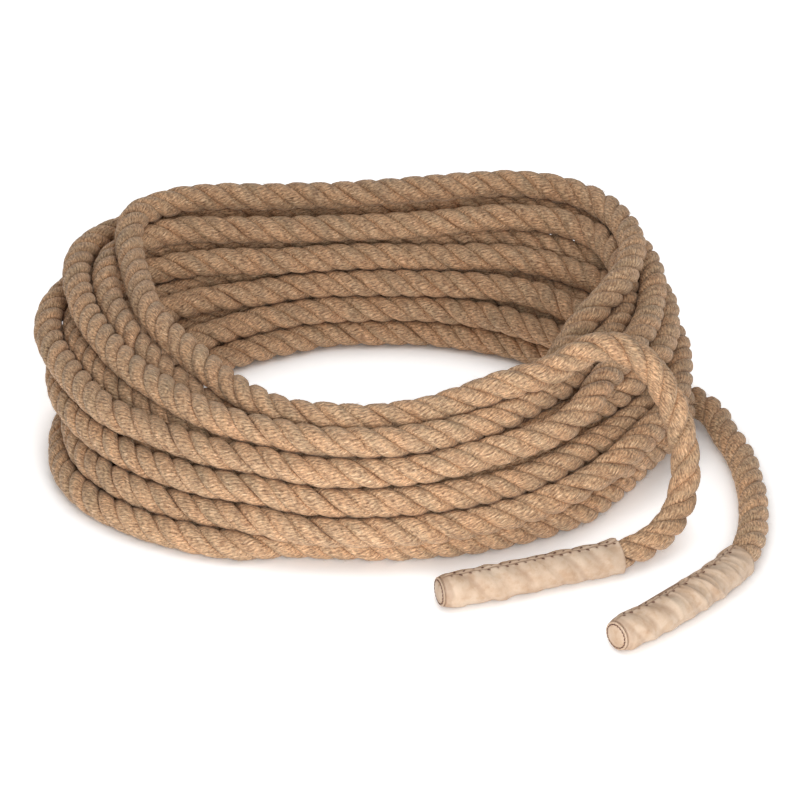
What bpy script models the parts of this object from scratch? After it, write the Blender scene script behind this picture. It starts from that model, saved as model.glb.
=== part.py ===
"""A coiled three-strand rope whose two ends are capped in stitched leather.

Metres, +Z up. The coil and both ends lie on the plane z = 0, and the origin is at the centre of
the whole object's footprint. Most sizes are given in rope diameters and worked out from ROPE_D.
"""
import math

import bmesh
import bpy
import numpy as np
from mathutils import Matrix, Vector

# Driving dimensions
ROPE_D = 0.026                 # diameter of the laid rope
GAP = 0.0003                   # clearance between neighbouring pieces
COIL_CENTRE = (-0.02028, 0.06343)  # where the coil's middle stands in the object's frame

# The rope's turns in winding order, bottom to top. Each turn passes four stations, at the right,
# the back, the left and the front of the coil: (reach from the coil's middle, height of the
# rope's centre), both in rope diameters.
TURNS = (
    ((10.8, 0.60), (8.8, 0.50), (10.2, 0.50), (8.9, 0.50)),
    ((9.8, 0.50), (7.8, 0.50), (9.2, 0.50), (7.9, 0.50)),
    ((8.8, 0.50), (6.8, 0.50), (8.2, 0.50), (6.9, 0.50)),
    ((8.7, 1.45), (6.8, 1.45), (8.4, 1.45), (7.1, 1.45)),
    ((9.7, 1.45), (7.8, 1.45), (9.0, 1.40), (8.1, 1.40)),
    ((10.7, 1.50), (8.9, 1.50), (10.0, 1.40), (9.1, 1.40)),
    ((10.8, 2.40), (9.0, 2.50), (10.5, 2.35), (8.9, 2.40)),
    ((9.7, 2.40), (8.0, 2.45), (9.6, 2.30), (8.0, 2.35)),
    ((8.8, 2.40), (6.9, 2.40), (8.7, 2.60), (7.0, 2.40)),
    ((9.4, 3.30), (7.2, 3.35), (10.0, 3.35), (7.7, 3.30)),
    ((10.5, 3.30), (8.4, 3.50), (10.9, 3.40), (8.7, 3.30)),
    ((10.1, 4.20), (9.2, 4.30), (10.1, 4.35), (8.3, 4.15)),
    ((9.2, 4.30), (7.8, 4.35), (9.0, 4.45), (7.0, 3.50)),
    ((9.2, 5.00), (8.7, 5.10), (8.3, 5.10), (7.4, 4.40)),
)
LEAN = 1.5                     # how far the coil's sides lean back for each diameter of height
UPRIGHT_HEIGHT = 1.8           # the right side is upright below this height, and the left leans forward
SQUARENESS = 0.05              # how much fuller the back corners get with each diameter of height
HUMP = 0.55                    # how far the top turns rise over the coil's back right corner
HUMP_ANGLE = math.radians(62.0)
HUMP_WIDTH = math.radians(26.0)
TOP_HEIGHT = max(height for turn in TURNS for _, height in turn)
TURN_STEPS = 24                # route points worked out for each turn
FIRST_STEP = 3                 # the rope joins its first turn this many steps past the right

# The two free ends, from coil or tip, in rope diameters from the coil's middle
REAR_TAIL = (
    (7.60, -14.40, 0.55), (9.20, -13.05, 0.55), (10.80, -11.30, 0.55), (11.90, -9.70, 0.55),
    (12.45, -7.80, 0.52), (12.65, -5.80, 0.52), (12.60, -3.40, 0.52), (12.15, -1.20, 0.55),
    (11.55, 0.60, 0.60),
)
FRONT_TAIL = (
    (2.00, -7.15, 4.50), (4.00, -6.50, 4.75), (6.20, -5.40, 5.25), (7.70, -4.95, 5.65),
    (9.00, -5.25, 5.20), (9.90, -5.80, 3.90), (10.30, -6.45, 2.40), (10.10, -7.40, 1.20),
    (9.30, -8.60, 0.68), (7.95, -9.60, 0.55), (6.10, -10.35, 0.55), (4.20, -11.10, 0.55),
    (2.30, -11.75, 0.55),
)
ROUTE_STEP = 0.25              # spacing of the points worked out along the free ends, in diameters

# Leather caps
CAP_LENGTH = 6.0 * ROPE_D
LEATHER = 0.0014               # thickness of the leather
CAPPED_SQUEEZE = 0.93          # the rope is squeezed to this share of its size inside the cap
WHIPPED_SQUEEZE = 0.85         # and to this share under the whipping at its very end
WHIPPING_LENGTH = 0.030
WHIPPING_INSET = 0.004         # bare rope left between the whipping and the rope's end
THREAD_D = 0.0011
SEAM_LEANS = {"front": math.radians(-2.0), "rear": math.radians(16.0)}  # of the joint, back from the top
SEAM_HALF_WIDTH = 0.0022       # the seam's thread reaches this far either side of the joint
SEAM_STITCH = 0.0080           # length of one stitch along the seam
RIM_STITCHES = 20
RIM_INSET = 0.0024             # distance of the rim's stitches from the edge of the end disc
RIM_HALF_WIDTH = 0.0006
CAP_SIDES = 24
TUBE_RESOLUTION = 3            # bevel resolution of the rope's tubes, which gives 10 sides
THREAD_RESOLUTION = 0

# The coil's outer shape
COIL_SECTIONS = 72
SECTION_SIDES = 16
SECTION_WINDOW = math.radians(6.0)

ROPE_R = ROPE_D / 2
CAP_INNER_R = ROPE_R * CAPPED_SQUEEZE + GAP
CAP_OUTER_R = CAP_INNER_R + LEATHER

MATERIALS = {
    "rope": ((0.42, 0.27, 0.14, 1.0), 0.92),
    "leather": ((0.78, 0.56, 0.38, 1.0), 0.62),
    "thread": ((0.22, 0.10, 0.06, 1.0), 0.80),
    "twine": ((0.62, 0.52, 0.36, 1.0), 0.85),
}


def clear_scene():
    for obj in list(bpy.data.objects):
        bpy.data.objects.remove(obj, do_unlink=True)


def new_collection(name):
    collection = bpy.data.collections.new(name)
    bpy.context.scene.collection.children.link(collection)
    return collection


def make_material(name):
    colour, roughness = MATERIALS[name]
    material = bpy.data.materials.new(name)
    material.use_nodes = True
    shader = material.node_tree.nodes["Principled BSDF"]
    shader.inputs["Base Color"].default_value = colour
    shader.inputs["Roughness"].default_value = roughness
    shader.inputs["Metallic"].default_value = 0.0
    return material


# ---------------------------------------------------------------- the rope's route

def station_point(quarter, share):
    """A point of the coil: quarter counts stations from the start, share runs 0 to 1 in it."""
    stations = [station for turn in TURNS for station in turn]
    near, far = stations[quarter], stations[quarter + 1]
    sideways, across = (near[0], far[0]) if quarter % 2 == 0 else (far[0], near[0])
    height = near[1] + (far[1] - near[1]) * (3 * share ** 2 - 2 * share ** 3)
    angle = (quarter % 4 + share) * math.pi / 2
    cosine, sine = math.cos(angle), math.sin(angle)
    bulge = 1 - SQUARENESS * height if sine > 0 else 1.0
    x = sideways * math.copysign(abs(cosine) ** bulge, cosine)
    rise = height - UPRIGHT_HEIGHT
    if cosine > 0:
        rise = max(rise, 0.0)
    y = across * sine + LEAN * rise * cosine ** 2
    hump = HUMP * math.exp(-((angle - HUMP_ANGLE) / HUMP_WIDTH) ** 2) * (height / TOP_HEIGHT) ** 2
    return (x, y, height + hump)


def coil_points():
    """The coiled stretch, in diameters from the coil's middle."""
    steps = TURN_STEPS // 4
    last = 4 * len(TURNS) - 1
    points = [station_point(index // steps, index % steps / steps) for index in range(last * steps)]
    return points[FIRST_STEP:] + [station_point(last - 1, 1.0)]


def smooth_route(points, step):
    """Evenly spaced points along a smooth curve through the given ones."""
    known = np.array(points)
    padded = np.vstack([2 * known[0] - known[1], known, 2 * known[-1] - known[-2]])
    shares = np.linspace(0, 1, 12, endpoint=False)[:, None]
    pieces = []
    for a, b, c, d in zip(padded[:-3], padded[1:-2], padded[2:-1], padded[3:]):
        curve = 2 * b + (c - a) * shares + (2 * a - 5 * b + 4 * c - d) * shares ** 2
        pieces.append(0.5 * (curve + (3 * b - a - 3 * c + d) * shares ** 3))
    fine = np.vstack(pieces + [known[-1:]])
    along = np.concatenate([[0], np.cumsum(np.linalg.norm(np.diff(fine, axis=0), axis=1))])
    even = np.linspace(0, along[-1], int(round(along[-1] / step)) + 1)
    return np.stack([np.interp(even, along, fine[:, axis]) for axis in range(3)], axis=1)


def to_metres(points):
    return np.asarray(points) * ROPE_D + np.array([*COIL_CENTRE, 0.0])


def free_end(tail, coil_side):
    """A free end's centreline in metres, from the coil to the tip."""
    return to_metres(smooth_route([*coil_side, *tail], ROUTE_STEP))


# ---------------------------------------------------------------- building blocks

def add_mesh(name, mesh, material, collection):
    obj = bpy.data.objects.new(name, mesh)
    collection.objects.link(obj)
    mesh.materials.clear()
    mesh.materials.append(material)
    return obj


def mesh_from_faces(name, vertices, faces):
    mesh = bpy.data.meshes.new(name)
    mesh.from_pydata([tuple(vertex) for vertex in vertices], [], faces)
    mesh.update()
    return mesh


def tube_mesh(name, points, radius, factors=None, caps=True, cyclic=False, resolution=TUBE_RESOLUTION):
    """A bevelled poly curve turned into a welded mesh."""
    curve = bpy.data.curves.new(name, "CURVE")
    curve.dimensions = "3D"
    curve.bevel_depth = radius
    curve.bevel_resolution = resolution
    curve.render_resolution_u = 0
    curve.use_fill_caps = caps
    spline = curve.splines.new("POLY")
    spline.points.add(len(points) - 1)
    spline.use_cyclic_u = cyclic
    for index, point in enumerate(points):
        spline.points[index].co = (*point, 1.0)
        spline.points[index].radius = 1.0 if factors is None else factors[index]
    guide = bpy.data.objects.new(name, curve)
    bpy.context.scene.collection.objects.link(guide)
    bpy.context.view_layer.update()
    evaluated = guide.evaluated_get(bpy.context.evaluated_depsgraph_get())
    mesh = bpy.data.meshes.new_from_object(evaluated)
    bpy.data.objects.remove(guide, do_unlink=True)
    bpy.data.curves.remove(curve)
    weld(mesh, closed=caps or cyclic)
    mesh.name = name
    return mesh


def weld(mesh, closed=True):
    shape = bmesh.new()
    shape.from_mesh(mesh)
    bmesh.ops.remove_doubles(shape, verts=shape.verts, dist=1e-6)
    if closed:
        bmesh.ops.recalc_face_normals(shape, faces=shape.faces)
    shape.to_mesh(mesh)
    shape.free()


def shade_smooth(obj, angle=math.radians(40)):
    obj.data.shade_smooth()
    obj.data.set_sharp_from_angle(angle=angle)


def cut(obj, cutter):
    modifier = obj.modifiers.new("cut_" + cutter.name, "BOOLEAN")
    modifier.operation = "DIFFERENCE"
    modifier.solver = "EXACT"
    modifier.object = cutter


def point_at(route, distance):
    """The point this far along a route in metres, and the route's direction there."""
    along = np.concatenate([[0], np.cumsum(np.linalg.norm(np.diff(route, axis=0), axis=1))])
    place = [np.interp(distance, along, route[:, axis]) for axis in range(3)]
    index = min(max(int(np.searchsorted(along, distance)) - 1, 0), len(route) - 2)
    direction = route[index + 1] - route[index]
    return Vector(place), Vector(direction).normalized()


def stretch(route, start, end, step):
    """Evenly spaced points of a route between two distances from its start."""
    count = max(2, int(round((end - start) / step)) + 1)
    return [point_at(route, distance)[0] for distance in np.linspace(start, end, count)]


def route_length(route):
    return float(np.linalg.norm(np.diff(route, axis=0), axis=1).sum())


# ---------------------------------------------------------------- the rope

def coil_section(points, angle):
    """Reach of the coil's section in each direction, as distances of its touching lines."""
    turned = np.arctan2(points[:, 1], points[:, 0]) - angle
    near = np.abs((turned + math.pi) % (2 * math.pi) - math.pi) < SECTION_WINDOW
    reach = np.hypot(points[near, 0], points[near, 1])
    height = points[near, 2]
    sides = 2 * math.pi * np.arange(SECTION_SIDES) / SECTION_SIDES - math.pi / 2
    lines = np.outer(np.cos(sides), reach) + np.outer(np.sin(sides), height)
    lines = lines.max(axis=1) + 0.5
    lines[0] = 0.0
    return lines


def section_corners(lines):
    """Corners (reach, height) where each touching line meets the next."""
    step = 2 * math.pi / SECTION_SIDES
    corners = []
    for index, line in enumerate(lines):
        side = step * index - math.pi / 2
        following = lines[(index + 1) % SECTION_SIDES]
        run = (following - line * math.cos(step)) / math.sin(step)
        reach = line * math.cos(side) - run * math.sin(side)
        height = line * math.sin(side) + run * math.cos(side)
        corners.append((reach, height))
    return corners


def coil_mesh():
    """One closed ring around all the turns, with a flat underside."""
    points = smooth_route(coil_points(), 0.25)
    angles = 2 * math.pi * np.arange(COIL_SECTIONS) / COIL_SECTIONS
    lines = np.array([coil_section(points, angle) for angle in angles])
    lines = (np.roll(lines, 1, axis=0) + lines + np.roll(lines, -1, axis=0)) / 3
    vertices = []
    for angle, section in zip(angles, lines):
        for reach, height in section_corners(section):
            vertices.append((reach * math.cos(angle), reach * math.sin(angle), height))
    faces = []
    for ring in range(COIL_SECTIONS):
        following = (ring + 1) % COIL_SECTIONS
        for side in range(SECTION_SIDES):
            beside = (side + 1) % SECTION_SIDES
            faces.append((ring * SECTION_SIDES + side, following * SECTION_SIDES + side,
                          following * SECTION_SIDES + beside, ring * SECTION_SIDES + beside))
    mesh = mesh_from_faces("rope_coil", to_metres(vertices), faces)
    weld(mesh)
    return mesh


def tail_factors(points):
    """How far the rope is squeezed at each tube point, counted back from its tip."""
    factors = []
    for index, point in enumerate(points):
        to_tip = route_length(points[index:]) if index < len(points) - 1 else 0.0
        if to_tip < WHIPPING_LENGTH + 2 * WHIPPING_INSET:
            factors.append(WHIPPED_SQUEEZE)
        elif to_tip < CAP_LENGTH + ROPE_R:
            factors.append(CAPPED_SQUEEZE)
        else:
            factors.append(1.0)
    return factors


def make_tail(name, route, materials, collection, cutters):
    """The free end's tube, and the clearance that it cuts in the coil."""
    length = route_length(route)
    cap_start = length - CAP_LENGTH - ROPE_R / 2
    whipping_start = length - WHIPPING_LENGTH - 1.5 * WHIPPING_INSET
    points = stretch(route, GAP, cap_start - ROPE_R, ROPE_D)
    points += stretch(route, cap_start, whipping_start - 1.5 * WHIPPING_INSET, ROPE_R)
    points += stretch(route, whipping_start, length, ROPE_R)
    mesh = tube_mesh(name, points, ROPE_R, tail_factors(np.array(points)))
    tail = add_mesh(name, mesh, materials["rope"], collection)
    shade_smooth(tail)
    clearance = stretch(route, 0.0, cap_start - ROPE_R, ROPE_D)
    cutter = add_mesh(name + "_clearance", tube_mesh(name + "_clearance", clearance, ROPE_R + GAP),
                      materials["rope"], cutters)
    cutter.hide_render = True
    cutter.display_type = "WIRE"
    return cutter


# ---------------------------------------------------------------- the leather caps

def cap_frame(route, distance):
    """Place, direction, and the sideways and upward directions at this distance."""
    place, direction = point_at(route, distance)
    side = direction.cross(Vector((0, 0, 1))).normalized()
    return place, direction, side, side.cross(direction).normalized()


def make_sleeve(name, route, material, collection):
    """A wrapped leather tube around the rope's end."""
    length = route_length(route)
    points = stretch(route, length - CAP_LENGTH, length, ROPE_D / 2)
    mesh = tube_mesh(name, points, CAP_INNER_R, caps=False, resolution=CAP_SIDES // 2 - 1)
    sleeve = add_mesh(name, mesh, material, collection)
    wall = sleeve.modifiers.new("wall", "SOLIDIFY")
    wall.thickness = LEATHER
    wall.offset = 1.0
    wall.use_even_offset = True
    shade_smooth(sleeve)


def make_disc(name, route, material, collection):
    """The round piece of leather that closes the sleeve."""
    place, direction, side, up = cap_frame(route, route_length(route))
    shape = bmesh.new()
    bmesh.ops.create_cone(shape, cap_ends=True, segments=CAP_SIDES, radius1=CAP_OUTER_R,
                          radius2=CAP_OUTER_R, depth=LEATHER)
    mesh = bpy.data.meshes.new(name)
    shape.to_mesh(mesh)
    shape.free()
    disc = add_mesh(name, mesh, material, collection)
    turn = Matrix((side, up, direction)).transposed().to_4x4()
    disc.matrix_world = Matrix.Translation(place + direction * (GAP + LEATHER / 2)) @ turn
    edge = disc.modifiers.new("edge", "BEVEL")
    edge.width = LEATHER / 3
    edge.segments = 2
    edge.limit_method = "ANGLE"
    shade_smooth(disc)


def make_seam_thread(name, route, lean, material, collection):
    """One thread lacing the sleeve's two edges together, along the joint near its top."""
    start = route_length(route) - CAP_LENGTH + SEAM_STITCH / 2
    stitches = int((CAP_LENGTH - SEAM_STITCH) / SEAM_STITCH)
    lift = CAP_OUTER_R + GAP + THREAD_D / 2
    swing = SEAM_HALF_WIDTH / lift
    points = []
    for index in range(2 * stitches + 1):
        place, _, side, up = cap_frame(route, start + index * SEAM_STITCH / 2)
        first = swing if index % 2 else -swing
        for angle in (lean + first, lean - first):
            points.append(place + up * lift * math.cos(angle) + side * lift * math.sin(angle))
    mesh = tube_mesh(name, points, THREAD_D / 2, resolution=THREAD_RESOLUTION)
    add_mesh(name, mesh, material, collection)


def make_rim_thread(name, route, material, collection):
    """One thread sewn round the end disc, just inside its edge."""
    place, direction, side, up = cap_frame(route, route_length(route))
    face = place + direction * (2 * GAP + LEATHER + THREAD_D / 2)
    points = []
    for index in range(2 * RIM_STITCHES):
        angle = math.pi * index / RIM_STITCHES
        reach = CAP_OUTER_R - RIM_INSET + (RIM_HALF_WIDTH if index % 2 else -RIM_HALF_WIDTH)
        points.append(face + side * reach * math.cos(angle) + up * reach * math.sin(angle))
    mesh = tube_mesh(name, points, THREAD_D / 2, caps=False, cyclic=True, resolution=THREAD_RESOLUTION)
    add_mesh(name, mesh, material, collection)


def make_whipping(name, route, material, collection):
    """The binding of twine that keeps the rope's strands together inside the cap."""
    length = route_length(route)
    end = length - WHIPPING_INSET
    points = stretch(route, end - WHIPPING_LENGTH + WHIPPING_INSET, end, ROPE_D / 4)
    inner = ROPE_R * WHIPPED_SQUEEZE + GAP
    mesh = tube_mesh(name, points, inner, caps=False, resolution=CAP_SIDES // 2 - 1)
    whipping = add_mesh(name, mesh, material, collection)
    wall = whipping.modifiers.new("wall", "SOLIDIFY")
    wall.thickness = CAP_INNER_R - GAP - inner
    wall.offset = 1.0
    wall.use_even_offset = True
    shade_smooth(whipping)


def main():
    clear_scene()
    collection = new_collection("leather_capped_rope")
    cutters = new_collection("cutters")
    materials = {name: make_material(name) for name in MATERIALS}
    coiled = coil_points()
    coil = add_mesh("rope_coil", coil_mesh(), materials["rope"], collection)
    shade_smooth(coil)
    ends = {
        "rear": free_end(REAR_TAIL[::-1], ()),
        "front": free_end(FRONT_TAIL, coiled[-1:]),
    }
    for end, route in ends.items():
        cut(coil, make_tail("rope_tail_" + end, route, materials, collection, cutters))
        make_sleeve("leather_sleeve_" + end, route, materials["leather"], collection)
        make_disc("end_disc_" + end, route, materials["leather"], collection)
        make_seam_thread("seam_thread_" + end, route, SEAM_LEANS[end], materials["thread"], collection)
        make_rim_thread("rim_thread_" + end, route, materials["thread"], collection)
        make_whipping("whipping_" + end, route, materials["twine"], collection)


main()
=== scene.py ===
"""The looks of a coiled three-strand rope whose two ends are capped in stitched leather.

The rope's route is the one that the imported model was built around. Here the turns settle on each
other, and the strands, their yarns, the loose fibres and the leather caps are modelled on it.
"""

import math

import bpy
import numpy as np
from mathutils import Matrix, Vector


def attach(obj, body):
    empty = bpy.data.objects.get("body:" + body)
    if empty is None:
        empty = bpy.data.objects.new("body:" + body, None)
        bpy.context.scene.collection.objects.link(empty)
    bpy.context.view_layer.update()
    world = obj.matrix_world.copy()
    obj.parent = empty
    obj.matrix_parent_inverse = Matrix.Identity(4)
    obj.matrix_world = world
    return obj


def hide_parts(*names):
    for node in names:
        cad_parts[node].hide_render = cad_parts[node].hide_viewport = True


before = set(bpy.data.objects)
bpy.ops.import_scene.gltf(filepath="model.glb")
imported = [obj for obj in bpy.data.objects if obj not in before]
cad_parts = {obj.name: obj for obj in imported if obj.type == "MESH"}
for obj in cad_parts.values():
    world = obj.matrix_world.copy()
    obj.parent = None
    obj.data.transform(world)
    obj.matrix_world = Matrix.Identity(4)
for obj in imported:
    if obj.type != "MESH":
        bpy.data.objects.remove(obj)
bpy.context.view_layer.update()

# ------------------------------------------------------------------ sizes shared with the model
ROPE_D = 0.026
COIL_CENTRE = np.array([-0.02028, 0.06343, 0.0])
# Each turn's stations at the right, back, left and front: (reach, height), in rope diameters
TURNS = (
    ((10.8, 0.60), (8.8, 0.50), (10.2, 0.50), (8.9, 0.50)),
    ((9.8, 0.50), (7.8, 0.50), (9.2, 0.50), (7.9, 0.50)),
    ((8.8, 0.50), (6.8, 0.50), (8.2, 0.50), (6.9, 0.50)),
    ((8.7, 1.45), (6.8, 1.45), (8.4, 1.45), (7.1, 1.45)),
    ((9.7, 1.45), (7.8, 1.45), (9.0, 1.40), (8.1, 1.40)),
    ((10.7, 1.50), (8.9, 1.50), (10.0, 1.40), (9.1, 1.40)),
    ((10.8, 2.40), (9.0, 2.50), (10.5, 2.35), (8.9, 2.40)),
    ((9.7, 2.40), (8.0, 2.45), (9.6, 2.30), (8.0, 2.35)),
    ((8.8, 2.40), (6.9, 2.40), (8.7, 2.60), (7.0, 2.40)),
    ((9.4, 3.30), (7.2, 3.35), (10.0, 3.35), (7.7, 3.30)),
    ((10.5, 3.30), (8.4, 3.50), (10.9, 3.40), (8.7, 3.30)),
    ((10.1, 4.20), (9.2, 4.30), (10.1, 4.35), (8.3, 4.15)),
    ((9.2, 4.30), (7.8, 4.35), (9.0, 4.45), (7.0, 3.50)),
    ((9.2, 5.00), (8.7, 5.10), (8.3, 5.10), (7.4, 4.40)),
)
LEAN = 1.5                     # how far the coil's sides lean back for each diameter of height
UPRIGHT_HEIGHT = 1.8           # the right side is upright below this, and the left leans forward
SQUARENESS = 0.05              # how much fuller the back corners get with each diameter of height
HUMP = 0.55                    # how far the top turns rise over the coil's back right corner
HUMP_ANGLE = math.radians(62.0)
HUMP_WIDTH = math.radians(26.0)
TOP_HEIGHT = max(height for turn in TURNS for _, height in turn)
TURN_STEPS = 24                # route points worked out for each turn
FIRST_STEP = 3                 # the rope joins its first turn this many steps past the right
# The two free ends, in rope diameters from the coil's middle
REAR_TAIL = (
    (7.60, -14.40, 0.55), (9.20, -13.05, 0.55), (10.80, -11.30, 0.55), (11.90, -9.70, 0.55),
    (12.45, -7.80, 0.52), (12.65, -5.80, 0.52), (12.60, -3.40, 0.52), (12.15, -1.20, 0.55),
    (11.55, 0.60, 0.60),
)
FRONT_TAIL = (
    (2.00, -7.15, 4.50), (4.00, -6.50, 4.75), (6.20, -5.40, 5.25), (7.70, -4.95, 5.65),
    (9.00, -5.25, 5.20), (9.90, -5.80, 3.90), (10.30, -6.45, 2.40), (10.10, -7.40, 1.20),
    (9.30, -8.60, 0.68), (7.95, -9.60, 0.55), (6.10, -10.35, 0.55), (4.20, -11.10, 0.55),
    (2.30, -11.75, 0.55),
)
ROPE_R = ROPE_D / 2
CAP_LENGTH = 6.0 * ROPE_D
CAPPED_SQUEEZE = 0.93          # the rope is squeezed to this share of its size inside the cap
WHIPPED_SQUEEZE = 0.85         # and to this share under the whipping at its very end
WHIPPING_REACH = 0.038         # how far back from the rope's end the whipping squeezes it
WHIPPING_EASE = 0.006          # the squeeze eases over this length past the whipping
GAP = 0.0003
LEATHER = 0.0014
CAP_INNER_R = ROPE_R * CAPPED_SQUEEZE + GAP
CAP_OUTER_R = CAP_INNER_R + LEATHER
SEAM_STITCH = 0.0080
SEAM_HALF_WIDTH = 0.0022
SEAM_LEANS = {"front": math.radians(-2.0), "rear": math.radians(16.0)}  # back from the top
RIM_STITCHES = 20
RIM_INSET = 0.0022

# ------------------------------------------------------------------ the rope's make-up
HELIX_R = 0.262 * ROPE_D       # distance of each strand's middle from the rope's own
STRAND_REACH = 0.236 * ROPE_D  # half a strand's thickness, outwards from the rope's middle
STRAND_SPREAD = 0.266 * ROPE_D  # half its width, where it presses on the other two
FULLNESS = 2.3                 # 2 is an oval section, and more is a squarer one
STRAND_SIDES = 18
LAY_PITCH = 2.52 * ROPE_D      # one full turn of the strands round the rope
YARN_ANGLE = math.radians(62)  # between the yarns and their strand, turned against the lay
YARN_WIDTH = 0.0022
RING_STEP = 0.0026             # between one ring of a strand's points and the next
TURN_WANDER = 0.14             # how unevenly the strands turn round the rope, in radians
MIDDLE_WANDER = 0.05           # how far a strand's middle strays, as a share of its distance
SLOW_SWELL = 0.05              # a strand thickens and thins by these shares, slowly and quickly
QUICK_SWELL = 0.03
LUMPS = 0.028                  # and its surface rises and sinks by this share


# ------------------------------------------------------------------ the rope's route
def station_point(quarter, share):
    """A point of the coil: quarter counts stations from the start, share runs 0 to 1 in it."""
    stations = [station for turn in TURNS for station in turn]
    near, far = stations[quarter], stations[quarter + 1]
    sideways, across = (near[0], far[0]) if quarter % 2 == 0 else (far[0], near[0])
    height = near[1] + (far[1] - near[1]) * (3 * share ** 2 - 2 * share ** 3)
    angle = (quarter % 4 + share) * math.pi / 2
    cosine, sine = math.cos(angle), math.sin(angle)
    bulge = 1 - SQUARENESS * height if sine > 0 else 1.0
    x = sideways * math.copysign(abs(cosine) ** bulge, cosine)
    rise = height - UPRIGHT_HEIGHT
    if cosine > 0:
        rise = max(rise, 0.0)
    y = across * sine + LEAN * rise * cosine ** 2
    hump = HUMP * math.exp(-((angle - HUMP_ANGLE) / HUMP_WIDTH) ** 2) * (height / TOP_HEIGHT) ** 2
    return (x, y, height + hump)


def coil_points():
    """The coiled stretch, in diameters from the coil's middle."""
    steps = TURN_STEPS // 4
    last = 4 * len(TURNS) - 1
    points = [station_point(index // steps, index % steps / steps) for index in range(last * steps)]
    return points[FIRST_STEP:] + [station_point(last - 1, 1.0)]


def smooth_route(points, step):
    """Evenly spaced points along a smooth curve through the given ones."""
    known = np.array(points)
    padded = np.vstack([2 * known[0] - known[1], known, 2 * known[-1] - known[-2]])
    shares = np.linspace(0, 1, 12, endpoint=False)[:, None]
    pieces = []
    for a, b, c, d in zip(padded[:-3], padded[1:-2], padded[2:-1], padded[3:]):
        curve = 2 * b + (c - a) * shares + (2 * a - 5 * b + 4 * c - d) * shares ** 2
        pieces.append(0.5 * (curve + (3 * b - a - 3 * c + d) * shares ** 3))
    fine = np.vstack(pieces + [known[-1:]])
    along = np.concatenate([[0], np.cumsum(np.linalg.norm(np.diff(fine, axis=0), axis=1))])
    even = np.linspace(0, along[-1], int(round(along[-1] / step)) + 1)
    return np.stack([np.interp(even, along, fine[:, axis]) for axis in range(3)], axis=1)


SETTLE_STEP = 0.5              # spacing of the settling points, in diameters
SETTLE_ROUNDS = 160
SEARCH_EVERY = 8               # rounds between one search for touching turns and the next
SEARCH_REACH = 1.5             # and how near, in diameters, it looks for them
REST_HEIGHT = 0.5              # the rope's middle when it lies on the floor
CONTACT = 0.965                # turns are pushed at least this far apart: soft rope presses in
GRAVITY = 0.005                # how far the turns drop in a round before they are pushed apart
HOLD = 0.02                    # how firmly the turns keep to their designed places
STIFFNESS = 0.25
FREE_REAR = 36                 # settling points of each free end, which lie where they are
FREE_FRONT = 34
STRAY = 0.16                   # how far the turns stray from their even places, in diameters
STRAY_EVERY = 7                # settling points between one stray and the next
STRAY_EASE = 12                # settling points over which the straying starts and ends
STRAY_SEED = 8
TINY = 1e-6                    # keeps a division by a distance from failing


def settle(points):
    """The turns come to rest on and beside each other, in many small moves. In diameters."""
    designed = points.copy()
    points = points.copy()
    count = len(points)
    for turn in range(SETTLE_ROUNDS):
        if turn % SEARCH_EVERY == 0:
            distance = np.linalg.norm(points[:, None] - points[None], axis=2)
            one, other = np.nonzero(np.triu(distance < SEARCH_REACH, 3))
        points[:, 2] -= GRAVITY
        points += (designed - points) * HOLD
        for _ in range(2):
            push_apart(points, one, other, count)
            points[:, 2] = np.maximum(points[:, 2], REST_HEIGHT)
            keep_length(points)
        bend = points[:-4] - 4 * points[1:-3] + 6 * points[2:-2] - 4 * points[3:-1] + points[4:]
        points[2:-2] -= STIFFNESS * bend / 6
        points[:, 2] = np.maximum(points[:, 2], REST_HEIGHT)
        points[:FREE_REAR] = designed[:FREE_REAR]
        points[-FREE_FRONT:] = designed[-FREE_FRONT:]
    return points


def push_apart(points, one, other, count):
    """Every pair of points that is nearer than a rope's thickness moves apart."""
    between = points[other] - points[one]
    distance = np.linalg.norm(between, axis=1)
    hit = distance < CONTACT
    first, second = one[hit], other[hit]
    share = (CONTACT - distance[hit]) / np.maximum(distance[hit], TINY) / 2
    push = share[:, None] * between[hit]
    touches = np.bincount(first, minlength=count) + np.bincount(second, minlength=count)
    move = np.zeros_like(points)
    np.add.at(move, first, -push)
    np.add.at(move, second, push)
    points += move / np.maximum(1, touches)[:, None]


def keep_length(points):
    """Neighbouring points return to their spacing, the even pairs first and then the odd."""
    for parity in (0, 1):
        pairs = (len(points) - parity) // 2
        near = points[parity:parity + 2 * pairs:2]
        far = points[parity + 1:parity + 1 + 2 * pairs:2]
        between = far - near
        length = np.linalg.norm(between, axis=1)[:, None]
        change = between * (1 - SETTLE_STEP / np.maximum(length, TINY)) / 2
        near += change
        far -= change


def strayed(points):
    """The coiled stretch wanders a little, as a rope laid down by hand does."""
    count = len(points)
    place = np.arange(count)
    to_free = np.minimum(place - FREE_REAR, count - FREE_FRONT - place)
    coiled = np.clip(to_free / STRAY_EASE, 0, 1)
    stray = wander(np.random.default_rng(STRAY_SEED), count, STRAY_EVERY, 3) * STRAY
    return points + stray * coiled[:, None]


def rope_route():
    """The rope's whole centreline in metres, from the rear end to the front one."""
    designed = smooth_route([*REAR_TAIL, *coil_points(), *FRONT_TAIL], SETTLE_STEP)
    settled = smooth_route(settle(strayed(designed)), RING_STEP / ROPE_D)
    return settled * ROPE_D + COIL_CENTRE


# ------------------------------------------------------------------ mesh helpers
def distances(route):
    """How far along a route each of its points is."""
    return np.concatenate([[0], np.cumsum(np.linalg.norm(np.diff(route, axis=0), axis=1))])


def unit(vectors):
    """The same directions, at length 1."""
    return vectors / np.linalg.norm(vectors, axis=-1, keepdims=True)


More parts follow.
